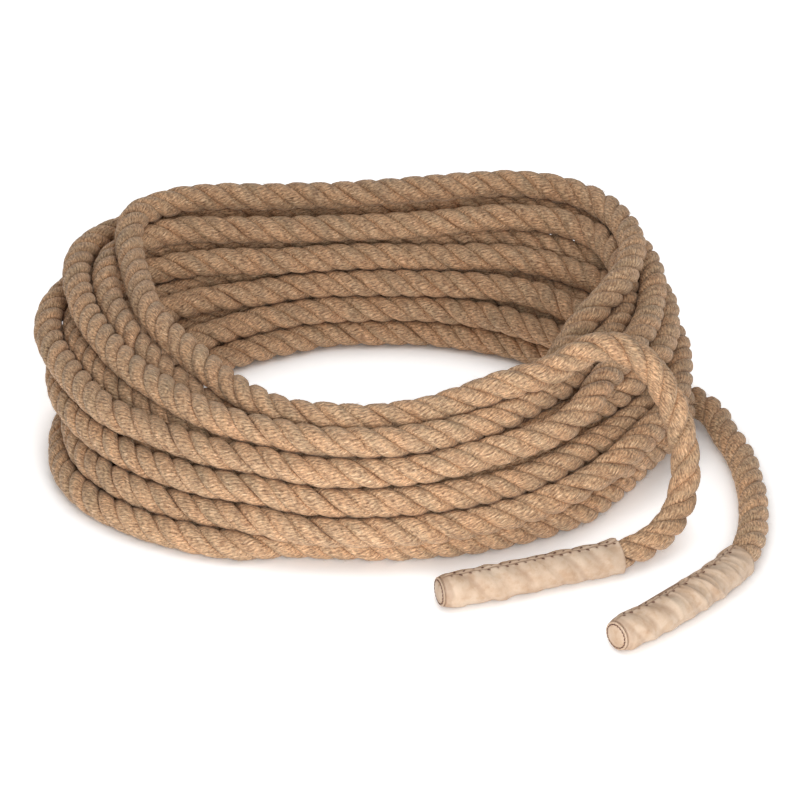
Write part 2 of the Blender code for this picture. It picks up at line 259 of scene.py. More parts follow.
def frames(route):
    """Directions along, beside and across a route, turning as little as they can."""
    along = unit(np.gradient(route, axis=0))
    beside = np.empty_like(along)
    beside[0] = unit(np.cross(along[0], (0.0, 0.0, 1.0)))
    for index in range(1, len(route)):
        carried = beside[index - 1] - along[index] * np.dot(beside[index - 1], along[index])
        beside[index] = carried / np.linalg.norm(carried)
    return along, beside, np.cross(along, beside)


def wander(rng, count, every, columns=1):
    """Smooth random values between about -1 and 1, with a new one every so many places."""
    knots = int(count / every) + 3
    values = rng.uniform(-1, 1, (knots, columns))
    place = np.arange(count) / every
    low = place.astype(int)
    share = (place - low)[:, None]
    share = share * share * (3 - 2 * share)
    return values[low] * (1 - share) + values[low + 1] * share


def new_mesh(name, points, loops, sizes):
    """A mesh from its points, its faces' corners in a row, and each face's number of corners."""
    mesh = bpy.data.meshes.new(name)
    mesh.vertices.add(points.size // 3)
    mesh.vertices.foreach_set("co", points.reshape(-1).astype(np.float32))
    mesh.loops.add(len(loops))
    mesh.loops.foreach_set("vertex_index", loops.astype(np.int32))
    mesh.polygons.add(len(sizes))
    mesh.polygons.foreach_set("loop_start", (np.cumsum(sizes) - sizes).astype(np.int32))
    return mesh


def finish_mesh(mesh, floats):
    """The mesh with its named values, one for each point, ready to use."""
    for label, values in floats.items():
        layer = mesh.attributes.new(label, "FLOAT", "POINT")
        layer.data.foreach_set("value", values.reshape(-1).astype(np.float32))
    mesh.update(calc_edges=True)
    mesh.validate()
    mesh.shade_smooth()
    return mesh


def tube_faces(count, sides, looped):
    """The corners and sizes of the faces of one tube through rings of points."""
    rows = count if looped else count - 1
    first = (np.arange(rows)[:, None] * sides + np.arange(sides)[None]).reshape(-1)
    beside = (np.arange(rows)[:, None] * sides + (np.arange(sides)[None] + 1) % sides).reshape(-1)
    total = count * sides
    quads = np.stack([first, beside, (beside + sides) % total, (first + sides) % total], axis=1)
    if looped:
        return quads.reshape(-1), np.full(len(quads), 4)
    caps = [np.arange(sides)[::-1], (count - 1) * sides + np.arange(sides)]
    return np.concatenate([quads.reshape(-1), *caps]), np.array([4] * len(quads) + [sides, sides])


def ring_mesh(name, rings, floats, looped=False, wound=None):
    """A tube through rings of points: closed at both ends, or looped back into its start."""
    count, sides = rings.shape[:2]
    mesh = new_mesh(name, rings, *tube_faces(count, sides, looped))
    if wound is not None:
        add_wound_uv(mesh, count, sides, wound)
    return finish_mesh(mesh, floats)


def tubes_mesh(name, lines, normals, radii, sides):
    """Many short closed tubes in one mesh, each along a line of points."""
    count, steps = lines.shape[:2]
    heading = unit(np.gradient(lines, axis=1))
    beside = unit(np.cross(heading, normals[:, None]))
    across = np.cross(heading, beside)
    angle = 2 * math.pi * np.arange(sides) / sides
    ring = np.cos(angle)[:, None] * beside[:, :, None] + np.sin(angle)[:, None] * across[:, :, None]
    points = lines[:, :, None] + radii[:, None, None] * ring
    corners, sizes = tube_faces(steps, sides, False)
    loops = np.arange(count)[:, None] * (steps * sides) + corners[None]
    return finish_mesh(new_mesh(name, points, loops.reshape(-1), np.tile(sizes, count)), {})


ROW_MARGIN = 0.03              # share of each row's height that is left empty on either side


def add_wound_uv(mesh, count, sides, girth_share):
    """A long tube's surface laid out in rows, like text, so that a picture can hold all of it."""
    rows = max(1, int(round(1 / math.sqrt(girth_share))))
    place = np.arange(count - 1) / (count - 1) * rows
    row = np.minimum(place.astype(int), rows - 1)
    left = place - row
    right = np.minimum(left + rows / (count - 1), 1.0)
    low = np.arange(sides) / sides
    high = low + 1 / sides
    quad = np.empty((count - 1, sides, 4, 2), np.float32)
    quad[:, :, 0, 0] = left[:, None]
    quad[:, :, 1, 0] = left[:, None]
    quad[:, :, 2, 0] = right[:, None]
    quad[:, :, 3, 0] = right[:, None]
    for corner, side in ((0, low), (1, high), (2, high), (3, low)):
        inside = ROW_MARGIN + (1 - 2 * ROW_MARGIN) * side
        quad[:, :, corner, 1] = (row[:, None] + inside[None]) / rows
    ends = np.full((2 * sides, 2), ROW_MARGIN / rows, np.float32)
    layer = mesh.uv_layers.new(name="OFBake")
    layer.data.foreach_set("uv", np.concatenate([quad.reshape(-1), ends.reshape(-1)]))


def add_piece(name, mesh, material):
    """A finished mesh becomes a piece that rides with the part."""
    piece = bpy.data.objects.new(name, mesh)
    bpy.context.scene.collection.objects.link(piece)
    mesh.materials.append(material)
    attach(piece, "root")
    return piece


# ------------------------------------------------------------------ the strands
NEIGHBOUR_STEP = 5             # one route point in so many stands for the turn that it is on
NEIGHBOURS = 10
OWN_TURN = 3 * ROPE_D          # a point nearer than this along the rope is on the same turn
FAR = 100.0                    # more than any real distance here
CRACK_SHADE_WIDTH = 0.16             # painted shade darkens the cracks between turns over this share of a diameter
APART = 7.3                    # keeps one strand's pattern from matching the next one's


def squeeze_along(travel, length):
    """How far the rope is squeezed at each distance: inside the caps, and whipped at its ends."""
    to_end = np.minimum(travel, length - travel)
    eased = WHIPPING_REACH + WHIPPING_EASE
    marks = (0.0, WHIPPING_REACH, eased, CAP_LENGTH, CAP_LENGTH + ROPE_D)
    sizes = (WHIPPED_SQUEEZE, WHIPPED_SQUEEZE, CAPPED_SQUEEZE, CAPPED_SQUEEZE, 1.0)
    return np.interp(to_end, marks, sizes)


def neighbours(route, along):
    """For each route point, the nearest points of the other turns and their directions."""
    coarse = np.arange(0, len(route), NEIGHBOUR_STEP)
    distance = np.linalg.norm(route[coarse][:, None] - route[coarse][None], axis=2)
    distance[np.abs(coarse[:, None] - coarse[None]) * RING_STEP < OWN_TURN] = FAR
    nearest = np.argsort(distance, axis=1)[:, :NEIGHBOURS]
    chosen = nearest[np.minimum(np.arange(len(route)) // NEIGHBOUR_STEP, len(coarse) - 1)]
    places, directions = route[coarse], along[coarse]
    return [(places[chosen[:, rank]], directions[chosen[:, rank]]) for rank in range(NEIGHBOURS)]


def openness(rings, near):
    """0 for a point in the crack between two turns, and 1 for a point with nothing near it; low values get
    painted shade.
    """
    clear = np.full(rings.shape[:2], 1.0)
    for place, direction in near:
        offset = rings - place[:, None]
        run = np.sum(offset * direction[:, None], axis=2, keepdims=True)
        apart = np.linalg.norm(offset - run * direction[:, None], axis=2) / ROPE_D
        apart[np.abs(run[..., 0]) > ROPE_D] = 2.0
        clear = np.minimum(clear, (apart - 0.5) / CRACK_SHADE_WIDTH)
    return np.clip(clear, 0, 1)


def strand_rings(route, axes, travel, which, rng):
    """Rings of one strand, and how far round it each of their points is, in metres."""
    _, beside, across = axes
    count = len(route)
    size = squeeze_along(travel, travel[-1])[:, None]
    turn = 2 * math.pi * (travel / LAY_PITCH + which / 3) + TURN_WANDER * wander(rng, count, 45)[:, 0]
    outward = np.cos(turn)[:, None] * beside + np.sin(turn)[:, None] * across
    middle = route + outward * HELIX_R * size * (1 + MIDDLE_WANDER * wander(rng, count, 18))
    forward = unit(np.gradient(middle, axis=0))
    outward = unit(outward - forward * np.sum(outward * forward, axis=1, keepdims=True))
    sideways = np.cross(forward, outward)
    angle = 2 * math.pi * (np.arange(STRAND_SIDES) + 0.5) / STRAND_SIDES - math.pi
    cosine, sine = np.cos(angle), np.sin(angle)
    reach = STRAND_REACH * np.sign(cosine) * np.abs(cosine) ** (2 / FULLNESS)
    spread = STRAND_SPREAD * np.sign(sine) * np.abs(sine) ** (2 / FULLNESS)
    swell = SLOW_SWELL * wander(rng, count, 14) + QUICK_SWELL * wander(rng, count, 4)
    lumps = size * (1 + swell + LUMPS * wander(rng, count, 2, STRAND_SIDES))
    rings = middle[:, None] + (lumps * reach)[..., None] * outward[:, None]
    rings = rings + (lumps * spread)[..., None] * sideways[:, None]
    rings[..., 2] = np.maximum(rings[..., 2], 0.0)
    return rings, angle * STRAND_REACH


def make_strands(route, axes, travel, material):
    """The three strands, each with the values that its material reads at every point."""
    near = neighbours(route, axes[0])
    pieces = []
    for which, letter in enumerate("abc"):
        rings, round_it = strand_rings(route, axes, travel, which, np.random.default_rng(11 + which))
        shape = rings.shape[:2]
        floats = {
            "lay_along": np.broadcast_to(travel[:, None] + which * APART, shape),
            "lay_round": np.broadcast_to(round_it[None], shape),
            # crown steers the painted shade in the grooves between strands
            "crown": np.linalg.norm(rings - route[:, None], axis=2) / ROPE_R,
            # open steers the painted shade in the cracks between turns
            "open": openness(rings, near),
        }
        girth_share = 2 * math.pi * STRAND_REACH / travel[-1]
        mesh = ring_mesh("strand_" + letter, rings, floats, wound=girth_share)
        pieces.append(add_piece("strand_" + letter, mesh, material))
    return pieces


# ------------------------------------------------------------------ loose fibres
FIBRES = 14000                 # in each of the pieces
FIBRE_R = 0.00008
FIBRE_REACH = (0.002, 0.008)
FIBRE_ROOT = 0.472 * ROPE_D    # a fibre starts this far from the rope's middle, just inside it
FIBRE_TAPER = np.array([1.0, 0.85, 0.35])
FIBRE_SIDES = 3
BARE_RINGS = 14                # rings next to each cap that grow no fibres


def make_fibres(route, axes, material, name, rng):
    """Fine ends of fibre that stand a little off the rope's surface."""
    along, beside, across = axes
    margin = int(CAP_LENGTH / RING_STEP) + BARE_RINGS
    start = rng.integers(margin, len(route) - margin, FIBRES)
    angle = rng.uniform(0, 2 * math.pi, FIBRES)
    reach = rng.uniform(*FIBRE_REACH, FIBRES)
    lift = rng.uniform(0.1, 0.8, FIBRES) ** 2 * reach
    swing = rng.uniform(-1.2, 1.2, FIBRES)
    way = rng.choice((-1.0, 1.0), FIBRES)
    outward = np.cos(angle)[:, None] * beside[start] + np.sin(angle)[:, None] * across[start]
    sideways = np.cross(along[start], outward)
    heading = along[start] * way[:, None] + sideways * swing[:, None]
    root = route[start] + outward * FIBRE_ROOT
    shares = np.linspace(0, 1, len(FIBRE_TAPER))
    lines = (root[:, None] + heading[:, None] * (reach[:, None] * shares)[..., None]
             + outward[:, None] * (lift[:, None] * shares ** 1.6)[..., None])
    lines[..., 2] = np.maximum(lines[..., 2], 2 * FIBRE_R)
    mesh = tubes_mesh(name, lines, outward, FIBRE_R * FIBRE_TAPER, FIBRE_SIDES)
    return add_piece(name, mesh, material)


# ------------------------------------------------------------------ the leather caps
CAP_RINGS = 200
CAP_SIDES = 160
EMBOSS = 0.0013                # how far the strands show through the leather
FOLDS = 9
FOLD = 0.0009                  # the height of each
FOLD_LENGTHS = (0.012, 0.034)  # and each repeats along the sleeve at a length between these
JOINT_DEPTH = 0.0009           # the joint between the sleeve's edges is sunk this deep
JOINT_WIDTH = 0.0007
LIP_HEIGHT = 0.0004            # and the leather rises in a lip on either side of it
LIP_PLACE = 0.0020
LIP_WIDTH = 0.0011
STITCH_HOLLOW = 0.0005         # each stitch pulls the leather down round it
STITCH_HOLLOW_WIDTH = 0.0013
EDGE_LIFT = 0.0005             # the open edge stands off the rope
EDGE_WIDTH = 0.004
TIP_LENGTH = 0.009             # the sleeve narrows over this length towards its stitched tip
TIP_DRAW = 0.0022
LINING_DEPTH = 0.014           # how much of the sleeve's inside is worth shaping
# painted shade for the sleeve's lining, and the same darkening for its two cut edges
LINING_SHADE_AND_EDGE_SOIL = 0.6
FLOOR_CLEARANCE = 0.0001
DISC_R = CAP_OUTER_R - TIP_DRAW * 0.75
DISC_DOME = 0.0016             # how far the disc's middle stands over its edge
DISC_RINGS = 40
DISC_EDGE = (                  # the disc's back and rounded edge: shares of its radius and thickness
    (0.03, 0.0), (0.5, 0.0), (0.94, 0.0), (0.985, 0.25), (1.0, 0.5), (0.99, 0.8), (0.965, 0.97),
)
THREAD_R = 0.0005
THREAD_SIDES = 8
STITCH_LENGTH = 0.0026
STITCH_SHARES = np.linspace(-1, 1, 7)[:, None]
STITCH_RADII = THREAD_R * np.array([0.7, 0.95, 1.0, 1.0, 1.0, 0.95, 0.7])
STITCH_DIP = 0.0009 * STITCH_SHARES ** 4  # a stitch's ends dip into the leather
SEAM_SLANT = 0.45
SEAM_LIFT = 0.0002             # how far the stitches stand over the leather
RIM_SLANT = 0.15
RIM_LIFT = 0.0005


def cap_line(route, axes, travel, end):
    """One cap's middle from its open edge to the rope's tip, its directions, and distances."""
    way = 1.0 if end == "front" else -1.0
    span = (travel[-1] - CAP_LENGTH, travel[-1]) if end == "front" else (CAP_LENGTH, 0.0)
    fine = np.linspace(*span, CAP_RINGS)
    middle, along, beside = (
        np.stack([np.interp(fine, travel, values[:, axis]) for axis in range(3)], axis=1)
        for values in (route, axes[0] * way, axes[1]))
    along = unit(along)
    beside = unit(beside)
    return middle, along, beside, np.cross(along, beside), fine * way


def cap_spokes(beside, across):
    """The outward direction of every point of every ring of a cap."""
    angle = 2 * math.pi * np.arange(CAP_SIDES) / CAP_SIDES
    return np.cos(angle)[:, None] * beside[..., None, :] + np.sin(angle)[:, None] * across[..., None, :]


def seam_stitches():
    """The seam's stitches: distance from the sleeve's open edge, and side of the joint."""
    count = int((CAP_LENGTH - SEAM_STITCH) / (SEAM_STITCH / 2))
    return [(SEAM_STITCH / 2 * (index + 1), 1 if index % 2 else -1) for index in range(count)]


def bell(distance, width):
    """1 at no distance, falling smoothly to nothing over about twice the width."""
    return np.exp(-(distance / width) ** 2)


def seam_angle(along, beside, across, lean):
    """Where the joint is, counted round the sleeve: near its top."""
    up = np.array([0.0, 0.0, 1.0])
    joint = up * math.cos(lean) + np.cross(along, up) * math.sin(lean)
    return np.arctan2(np.sum(across * joint, axis=1), np.sum(beside * joint, axis=1))


def leather_swell(angle, travel, from_edge, rng):
    """The strands that show through the leather, and its folds."""
    laid = angle - 2 * math.pi * travel[:, None] / LAY_PITCH
    swell = EMBOSS * (0.5 + 0.5 * np.cos(3 * laid)) * (0.7 + 0.3 * wander(rng, CAP_RINGS, 30))
    for _ in range(FOLDS):
        length = rng.uniform(*FOLD_LENGTHS)
        phase = rng.integers(1, 4) * angle - 2 * math.pi * from_edge / length + rng.uniform(0, 6)
        strength = np.clip(wander(rng, CAP_RINGS, 45) * 1.6, 0, 1)
        strength = strength * (0.5 + 0.5 * np.cos(angle + rng.uniform(0, 6)))
        swell = swell + FOLD * strength * (1 - np.abs(np.sin(phase / 2))) ** 2
    return swell


def sleeve_relief(line, lean, rng):
    """Height of the leather above a plain round sleeve, how worn or soiled it is, and its painted shade."""
    _, along, beside, across, travel = line
    angle = 2 * math.pi * np.arange(CAP_SIDES)[None] / CAP_SIDES
    from_edge = (np.arange(CAP_RINGS) / (CAP_RINGS - 1) * CAP_LENGTH)[:, None]
    relief = leather_swell(angle, travel, from_edge, rng)
    turned = angle - seam_angle(along, beside, across, lean)[:, None]
    joint = ((turned + math.pi) % (2 * math.pi) - math.pi) * CAP_OUTER_R
    relief = relief - JOINT_DEPTH * bell(joint, JOINT_WIDTH)
    relief = relief + LIP_HEIGHT * bell(np.abs(joint) - LIP_PLACE, LIP_WIDTH)
    soil_and_shade = 0.7 * bell(joint, 0.0009)
    for place, side in seam_stitches():
        hollow = bell(np.hypot(from_edge - place, joint - side * SEAM_HALF_WIDTH), STITCH_HOLLOW_WIDTH)
        relief = relief - STITCH_HOLLOW * hollow
        soil_and_shade = np.maximum(soil_and_shade, 0.6 * hollow)
    relief = relief + EDGE_LIFT * bell(from_edge, EDGE_WIDTH)
    near_tip = np.clip(1 - (CAP_LENGTH - from_edge) / TIP_LENGTH, 0, 1)
    relief = relief * (1 - near_tip) - TIP_DRAW * (1 - np.sqrt(1 - 0.98 * near_tip ** 2))
    soil_and_shade = np.maximum(soil_and_shade, 0.3 * bell(from_edge, 0.0012))
    # painted shade wherever the leather sinks, as between the strands and towards the drawn-in tip
    soil_and_shade = np.maximum(soil_and_shade, np.clip(0.30 - relief / EMBOSS, 0, 0.30))
    return relief, soil_and_shade


def sleeve_edge(line, spoke, relief, index, way, shares):
    """Rings that round one edge of the leather, which points this way along the sleeve."""
    middle, along = line[0][index], line[1][index]
    rings = []
    for share in shares:
        radius = CAP_INNER_R + (CAP_OUTER_R + relief[index] - CAP_INNER_R) * share
        bulge = along * way * LEATHER * (0.3 - 1.2 * (share - 0.5) ** 2)
        rings.append(middle + radius[:, None] * spoke[index] + bulge)
    return rings


def make_sleeve(line, material, end):
    """The wrapped leather: its outside, its two edges, and its lining."""
    middle, _, beside, across, _ = line
    rng = np.random.default_rng(21 if end == "front" else 22)
    relief, soil_and_shade = sleeve_relief(line, SEAM_LEANS[end], rng)
    spoke = cap_spokes(beside, across)
    outside = middle[:, None] + (CAP_OUTER_R + relief)[..., None] * spoke
    depth = int(LINING_DEPTH / CAP_LENGTH * CAP_RINGS)
    inner = np.concatenate([[CAP_RINGS - 1, CAP_RINGS - 6], np.arange(depth, -1, -4)])
    lining_r = CAP_INNER_R + 0.5 * np.maximum(relief[inner], 0)
    lining = middle[inner][:, None] + lining_r[..., None] * spoke[inner]
    tip = sleeve_edge(line, spoke, relief, CAP_RINGS - 1, 1, (0.85, 0.5, 0.15))
    opening = sleeve_edge(line, spoke, relief, 0, -1, (0.15, 0.5, 0.85))
    rings = np.concatenate([outside, tip, lining, opening])
    rings[..., 2] = np.maximum(rings[..., 2], FLOOR_CLEARANCE)
    # the lining gets painted shade and the edges their darkening; the outside keeps its soil and painted
    # shade
    sleeve_soil_and_shade = np.full(rings.shape[:2], LINING_SHADE_AND_EDGE_SOIL)
    sleeve_soil_and_shade[:CAP_RINGS] = soil_and_shade
    mesh = ring_mesh("sleeve_" + end, rings, {"soil_and_shade": sleeve_soil_and_shade}, looped=True)
    sleeve = add_piece("sleeve_" + end, mesh, material)
    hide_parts("leather_sleeve_" + end)
    return sleeve


def make_seam_thread(line, material, end):
    """Short dark stitches that dip into the leather either side of the sleeve's joint."""
    middle, along, beside, across, _ = line
    joint = seam_angle(along, beside, across, SEAM_LEANS[end])
    height = CAP_OUTER_R + EMBOSS * 0.5 + SEAM_LIFT - STITCH_DIP
    lines, normals = [], []
    for place, side in seam_stitches():
        index = int(round(place / CAP_LENGTH * (CAP_RINGS - 1)))
        angle = joint[index] + side * SEAM_HALF_WIDTH / CAP_OUTER_R
        out = math.cos(angle) * beside[index] + math.sin(angle) * across[index]
        heading = unit(along[index] - SEAM_SLANT * side * np.cross(along[index], out))
        lines.append(middle[index] + out * height + heading * STITCH_SHARES * STITCH_LENGTH / 2)
        normals.append(out)
    name = "seam_stitches_" + end
    mesh = tubes_mesh(name, np.array(lines), np.array(normals), STITCH_RADII, THREAD_SIDES)
    piece = add_piece(name, mesh, material)
    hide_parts("seam_thread_" + end)
    return piece


def disc_height(radius, angle):
    """Height of the end disc's face: slightly domed, and drawn in where it is stitched."""
    stitch_r = DISC_R - RIM_INSET
    height = LEATHER + DISC_DOME * (1 - (radius / DISC_R) ** 2)
    height = height - 0.0003 * bell(radius - stitch_r, 0.0010)
    return height - 0.0002 * bell(radius - stitch_r, 0.0012) * np.cos(RIM_STITCHES * angle)


def make_disc(line, material, end):
    """The round piece that closes the sleeve, with its stitched rim."""
    middle, along, beside, across, _ = line
    angle = 2 * math.pi * np.arange(CAP_SIDES) / CAP_SIDES
    spoke = cap_spokes(beside[-1], across[-1])
    base = middle[-1] + along[-1] * GAP
    rings = [base + spoke * DISC_R * share + along[-1] * LEATHER * lift for share, lift in DISC_EDGE]
    soil_and_shade = [np.full(CAP_SIDES, 0.25)] * len(DISC_EDGE)
    for radius in np.linspace(0.945, 0.02, DISC_RINGS) * DISC_R:
        height = disc_height(radius, angle)
        rings.append(base + spoke * radius + along[-1] * height[:, None])
        soil_and_shade.append(0.2 * bell(radius - DISC_R + RIM_INSET, 0.0009) * (1 - np.cos(RIM_STITCHES * angle)))
    rings = np.array(rings)
    rings[..., 2] = np.maximum(rings[..., 2], FLOOR_CLEARANCE)
    mesh = ring_mesh("cap_end_" + end, rings, {"soil_and_shade": np.array(soil_and_shade)})
    disc = add_piece("cap_end_" + end, mesh, material)
    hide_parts("end_disc_" + end)
    return disc


def make_rim_thread(line, material, end):
    """The stitches round the end disc, just inside its rim."""
    middle, along, beside, across, _ = line
    height = GAP + LEATHER + RIM_LIFT - STITCH_DIP
    lines, normals = [], []
    for index in range(RIM_STITCHES):
        angle = 2 * math.pi * (index + 0.5) / RIM_STITCHES
        out = math.cos(angle) * beside[-1] + math.sin(angle) * across[-1]
        heading = unit(np.cross(along[-1], out) + RIM_SLANT * out)
        place = middle[-1] + out * (DISC_R - RIM_INSET)
        lines.append(place + along[-1] * height + heading * STITCH_SHARES * STITCH_LENGTH / 2)
        normals.append(along[-1])
    name = "rim_stitches_" + end
    mesh = tubes_mesh(name, np.array(lines), np.array(normals), STITCH_RADII, THREAD_SIDES)
    piece = add_piece(name, mesh, material)
    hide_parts("rim_thread_" + end)
    return piece


# ------------------------------------------------------------------ materials
YARN_SWAY = 9.0                # how far the yarns wander sideways, in radians of their pattern


class Nodes:
    """Short ways to add and join the nodes of one material."""

    def __init__(self, name):
        self.material = bpy.data.materials.new(name)
        self.material.use_nodes = True
        self.tree = self.material.node_tree
        self.shader = self.tree.nodes["Principled BSDF"]

    def add(self, kind, **values):
        node = self.tree.nodes.new(kind)
        for key, value in values.items():
            setattr(node, key, value)
        return node

    def link(self, source, target):
        self.tree.links.new(source, target)

    def attribute(self, name):
        return self.add("ShaderNodeAttribute", attribute_name=name).outputs["Fac"]

    def place(self):
        return self.add("ShaderNodeTexCoord").outputs["Object"]

    def mapped(self, vector, setting, value):
        """A vector scaled or turned."""
        node = self.add("ShaderNodeMapping")
        node.inputs[setting].default_value = value
        self.link(vector, node.inputs["Vector"])
        return node.outputs["Vector"]

    def noise(self, vector, scale, detail=3.0, roughness=0.55):
        node = self.add("ShaderNodeTexNoise")
        node.inputs["Scale"].default_value = scale
        node.inputs["Detail"].default_value = detail
        node.inputs["Roughness"].default_value = roughness
        self.link(vector, node.inputs["Vector"])
        return node.outputs["Fac"]

    def drawn_noise(self, vector, along, across, detail=3.0, roughness=0.55):
        """Noise with one fineness along the vector's X, and another along its Y."""
        return self.noise(self.mapped(vector, "Scale", (along, across, 1.0)), 1.0, detail, roughness)

    def ramp(self, value, *stops):
        """The colour that a value picks among the stops."""
        node = self.add("ShaderNodeValToRGB")
        elements = node.color_ramp.elements
        while len(elements) < len(stops):
            elements.new(0.5)
        for element, (place, colour) in zip(elements, stops):
            element.position = place
            element.color = (*colour, 1.0)
        self.link(value, node.inputs["Fac"])
        return node.outputs["Color"]

    def mix(self, share, one, other, blend="MIX"):
        node = self.add("ShaderNodeMix", data_type="RGBA", blend_type=blend)
        for index, value in ((0, share), (6, one), (7, other)):
            if isinstance(value, bpy.types.NodeSocket):
                self.link(value, node.inputs[index])
            else:
                node.inputs[index].default_value = value if index == 0 else (*value, 1.0)
        return node.outputs[2]

    def tinted(self, tone, share, value, *stops):
        """A tone multiplied, by this share, by the colour that a value picks."""
        return self.mix(share, tone, self.ramp(value, *stops), "MULTIPLY")

    def maths(self, operation, one, other=0.0):
        node = self.add("ShaderNodeMath", operation=operation)
        for index, value in ((0, one), (1, other)):
            if isinstance(value, bpy.types.NodeSocket):
                self.link(value, node.inputs[index])
            else:
                node.inputs[index].default_value = value
        return node.outputs[0]

    def bump(self, height, distance, strength):
        node = self.add("ShaderNodeBump")
        node.inputs["Strength"].default_value = strength
        node.inputs["Distance"].default_value = distance
        self.link(height, node.inputs["Height"])
        self.link(node.outputs["Normal"], self.shader.inputs["Normal"])

    def surface(self, tone, **values):
        """The finished material: its tone, and its shader's plain values."""
        self.link(tone, self.shader.inputs["Base Color"])
        self.settings(**values)
        return self.material

    def settings(self, **values):
        """Sets the shader's own sockets, with _ for the spaces in their names."""
        for name, value in values.items():
            self.shader.inputs[name.replace("_", " ")].default_value = value


def strand_directions(nodes):
    """Coordinates along and round a strand, and along and across its yarns."""
    lay = nodes.add("ShaderNodeCombineXYZ")
    nodes.link(nodes.attribute("lay_along"), lay.inputs["X"])
    nodes.link(nodes.attribute("lay_round"), lay.inputs["Y"])
    lay = lay.outputs["Vector"]
    return lay, nodes.mapped(lay, "Rotation", (0.0, 0.0, YARN_ANGLE))


def yarn_ridges(nodes, lay, yarn_way):
    """0 in the groove between two yarns, and 1 on the back of each."""
    sway = nodes.drawn_noise(lay, 90.0, 90.0, 2.0)
    split = nodes.add("ShaderNodeSeparateXYZ")
    nodes.link(yarn_way, split.inputs["Vector"])
    phase = nodes.maths("MULTIPLY", split.outputs["Y"], math.pi / YARN_WIDTH)
    phase = nodes.maths("ADD", phase, nodes.maths("MULTIPLY", sway, YARN_SWAY))
    return nodes.maths("ABSOLUTE", nodes.maths("SINE", phase))


def rope_material():
    """Natural fibre: streaked along the yarns, with painted shade, darker and redder, in every crack."""
    nodes = Nodes("natural_fibre_rope")
    lay, yarn_way = strand_directions(nodes)
    yarn = yarn_ridges(nodes, lay, yarn_way)
    streak = nodes.drawn_noise(yarn_way, 130.0, 1300.0, 3.0, 0.7)
    fuzz = nodes.drawn_noise(yarn_way, 300.0, 1100.0, 3.0, 0.6)
    clump = nodes.drawn_noise(lay, 190.0, 230.0, 2.0, 0.6)
    patch = nodes.drawn_noise(lay, 34.0, 60.0, 3.0, 0.6)
    stretch = nodes.drawn_noise(lay, 6.0, 12.0, 2.0)
    tone = nodes.ramp(streak, (0.30, (0.29, 0.170, 0.098)), (0.46, (0.46, 0.300, 0.180)),
                      (0.58, (0.56, 0.380, 0.238)), (0.74, (0.86, 0.675, 0.485)))
    tone = nodes.tinted(tone, 0.85, fuzz, (0.34, (0.42, 0.35, 0.31)), (0.48, (1.0, 1.0, 1.0)),
                        (0.66, (1.40, 1.38, 1.34)))
    tone = nodes.tinted(tone, 0.85, clump, (0.36, (0.70, 0.64, 0.60)), (0.50, (1.0, 1.0, 1.0)),
                        (0.66, (1.12, 1.10, 1.08)))
    # painted shade in the grooves between yarns, and a faint painted highlight on their backs
    tone = nodes.tinted(tone, 0.75, yarn, (0.0, (0.70, 0.63, 0.57)), (0.45, (1.0, 1.0, 1.0)),
                        (1.0, (1.08, 1.07, 1.05)))
    tone = nodes.tinted(tone, 0.9, patch, (0.32, (0.80, 0.82, 0.80)), (0.46, (1.0, 0.98, 0.95)),
                        (0.58, (1.07, 0.98, 0.90)), (0.70, (1.16, 1.05, 0.98)))
    tone = nodes.tinted(tone, 0.8, stretch, (0.35, (0.88, 0.86, 0.84)), (0.65, (1.08, 1.07, 1.05)))
    # painted shade: darker and redder in the grooves between strands, towards the rope's middle
    tone = nodes.tinted(tone, 1.0, nodes.attribute("crown"), (0.64, (0.32, 0.23, 0.18)),
                        (0.74, (0.84, 0.77, 0.71)), (0.84, (1.0, 1.0, 1.0)))
    # painted shade: darker and redder in the cracks between turns, where open is low
    tone = nodes.tinted(tone, 1.0, nodes.attribute("open"), (0.0, (0.38, 0.29, 0.24)),
                        (0.30, (0.88, 0.83, 0.79)), (0.7, (1.0, 1.0, 1.0)))
    height = nodes.maths("ADD", nodes.maths("MULTIPLY", yarn, 0.8), nodes.maths("MULTIPLY", fuzz, 1.2))
    nodes.bump(nodes.maths("ADD", height, streak), 0.0007, 0.9)
    return nodes.surface(tone, Roughness=0.62, Specular_IOR_Level=0.45, Sheen_Weight=0.2,
                         Sheen_Roughness=0.5, Sheen_Tint=(0.95, 0.82, 0.66, 1.0))


def fibre_material():
    """Single fibres, some darker than others."""
    nodes = Nodes("loose_fibre")
    shade = nodes.noise(nodes.place(), 160.0)
    tone = nodes.ramp(shade, (0.35, (0.34, 0.21, 0.12)), (0.65, (0.78, 0.60, 0.42)))
    return nodes.surface(tone, Roughness=0.6)


def leather_material():
    """Undyed leather: pale, faintly blotched, darker where cut, sewn or handled; painted shade in its
    hollows.
    """
    nodes = Nodes("undyed_leather")
    place = nodes.place()
    cloud = nodes.noise(place, 42.0, 5.0, 0.6)
    blotch = nodes.noise(place, 130.0, 3.0, 0.6)
    grain = nodes.noise(place, 1500.0, 4.0, 0.6)
    tone = nodes.ramp(cloud, (0.30, (0.46, 0.315, 0.210)), (0.48, (0.54, 0.400, 0.290)),
                      (0.68, (0.585, 0.455, 0.340)))
    tone = nodes.tinted(tone, 0.7, blotch, (0.36, (0.86, 0.78, 0.70)), (0.52, (1.0, 1.0, 1.0)),
                        (0.72, (1.04, 1.04, 1.04)))
    tone = nodes.tinted(tone, 0.6, grain, (0.32, (0.88, 0.84, 0.80)), (0.48, (1.0, 1.0, 1.0)))
    # darker towards this brown: soil where cut, sewn or handled, and painted shade in hollows and lining
    tone = nodes.mix(nodes.attribute("soil_and_shade"), tone, (0.235, 0.125, 0.075))
    nodes.bump(nodes.maths("ADD", grain, nodes.maths("MULTIPLY", blotch, 2.0)), 0.0003, 0.6)
    return nodes.surface(tone, Roughness=0.55, Specular_IOR_Level=0.35)


